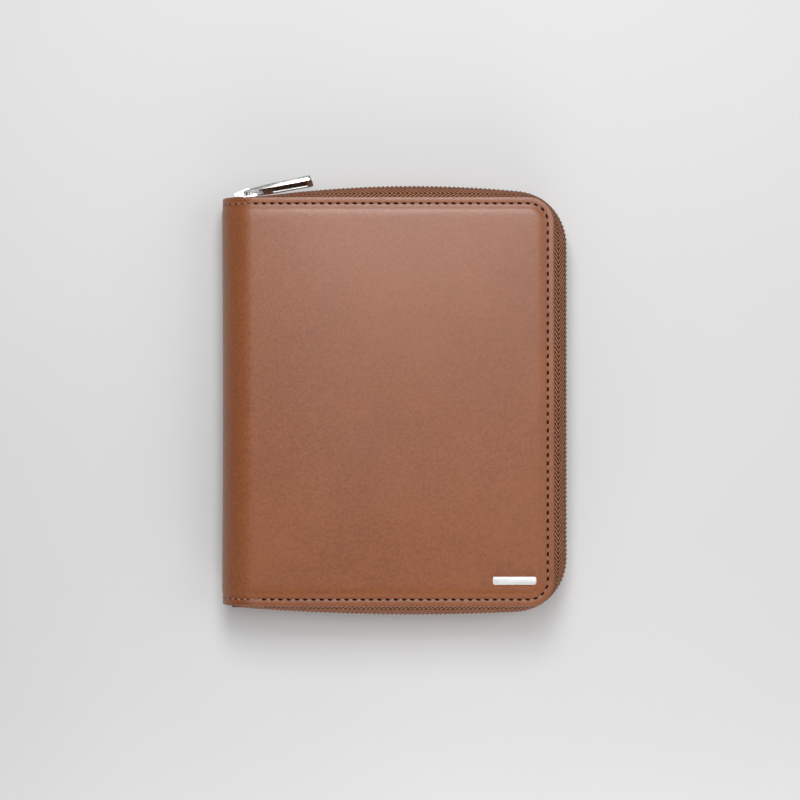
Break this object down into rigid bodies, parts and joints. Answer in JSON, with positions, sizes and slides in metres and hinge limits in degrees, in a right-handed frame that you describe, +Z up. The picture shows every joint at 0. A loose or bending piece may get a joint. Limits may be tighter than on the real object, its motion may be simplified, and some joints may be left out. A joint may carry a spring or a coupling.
{
  "type": "travel document organizer",
  "caption": "Zip-around leather travel organizer that opens like a book, with card slots, passport pocket and pen loop.",
  "frame": {"origin": "middle of the back cover's outer face, on the surface that the closed organizer lies on", "axes": "+Z up through the thickness towards the front cover, +X from the spine to the free edge, +Y along the spine to the head, where the zip slider rests"},
  "size_m": [0.1352, 0.1719, 0.0257],
  "materials": {
    "leather": "semi-matte, finely grained",
    "lining": "matte woven",
    "foam": "matte",
    "board": "matte",
    "thread": "waxed",
    "zip_tape": "matte herringbone",
    "zip_coil": "satin nylon",
    "elastic": "matte ribbed",
    "polished_metal": "polished"
  },
  "bodies": {
    "back_half": {"back_cover_leather": "leather", "back_cover_foam": "foam", "back_cover_board": "board", "back_cover_lining": "lining", "back_stitch_thread": "thread", "back_zip_tape": "zip_tape", "back_zip_coil": "zip_coil", "zip_end_stops": "zip_coil", "back_sleeve": "leather", "passport_pocket": "leather", "ticket_pocket": "leather", "pen_loop": "elastic"},
    "spine_low": {"spine_leather_low": "leather", "spine_lining_low": "lining"},
    "spine_mid": {"spine_leather_mid": "leather", "spine_lining_mid": "lining"},
    "spine_high": {"spine_leather_high": "leather", "spine_lining_high": "lining"},
    "front_half": {"front_cover_leather": "leather", "front_cover_foam": "foam", "front_cover_board": "board", "front_cover_lining": "lining", "front_stitch_thread": "thread", "front_zip_tape": "zip_tape", "front_zip_coil": "zip_coil", "front_sleeve": "leather", "card_slot_1": "leather", "card_slot_2": "leather", "card_slot_3": "leather", "card_slot_4": "leather", "corner_badge": "polished_metal"},
    "slider": {"slider_body": "polished_metal", "slider_bail": "polished_metal"},
    "pull": {"zip_pull": "polished_metal"}
  },
  "joints": [
    {"name": "spine_fold_1", "type": "hinge", "parent": "back_half", "child": "spine_low", "pos_m": [-0.05768, 0, 0], "axis": [0, -1, 0], "range_deg": [0, 45]},
    {"name": "spine_fold_2", "type": "hinge", "parent": "spine_low", "child": "spine_mid", "pos_m": [-0.065, 0, 0.00732], "axis": [0, -1, 0], "range_deg": [0, 45]},
    {"name": "spine_fold_3", "type": "hinge", "parent": "spine_mid", "child": "spine_high", "pos_m": [-0.065, 0, 0.01768], "axis": [0, -1, 0], "range_deg": [0, 45]},
    {"name": "spine_fold_4", "type": "hinge", "parent": "spine_high", "child": "front_half", "pos_m": [-0.05768, 0, 0.025], "axis": [0, -1, 0], "range_deg": [0, 45]},
    {"name": "slider_travel", "type": "hinge", "parent": "back_half", "child": "slider", "pos_m": [0.01, -0.33876, 0.0125], "axis": [0, 0, -1], "range_deg": [0, 13.2]},
    {"name": "pull_swing", "type": "hinge", "parent": "slider", "child": "pull", "pos_m": [-0.05546, 0.08163, 0.0125], "axis": [0, 0, 1], "range_deg": [0, 165]}
  ],
  "couplings": [
    {"joint": "spine_fold_2", "follows": "spine_fold_1", "ratio": 1},
    {"joint": "spine_fold_3", "follows": "spine_fold_1", "ratio": 1},
    {"joint": "spine_fold_4", "follows": "spine_fold_1", "ratio": 1}
  ]
}
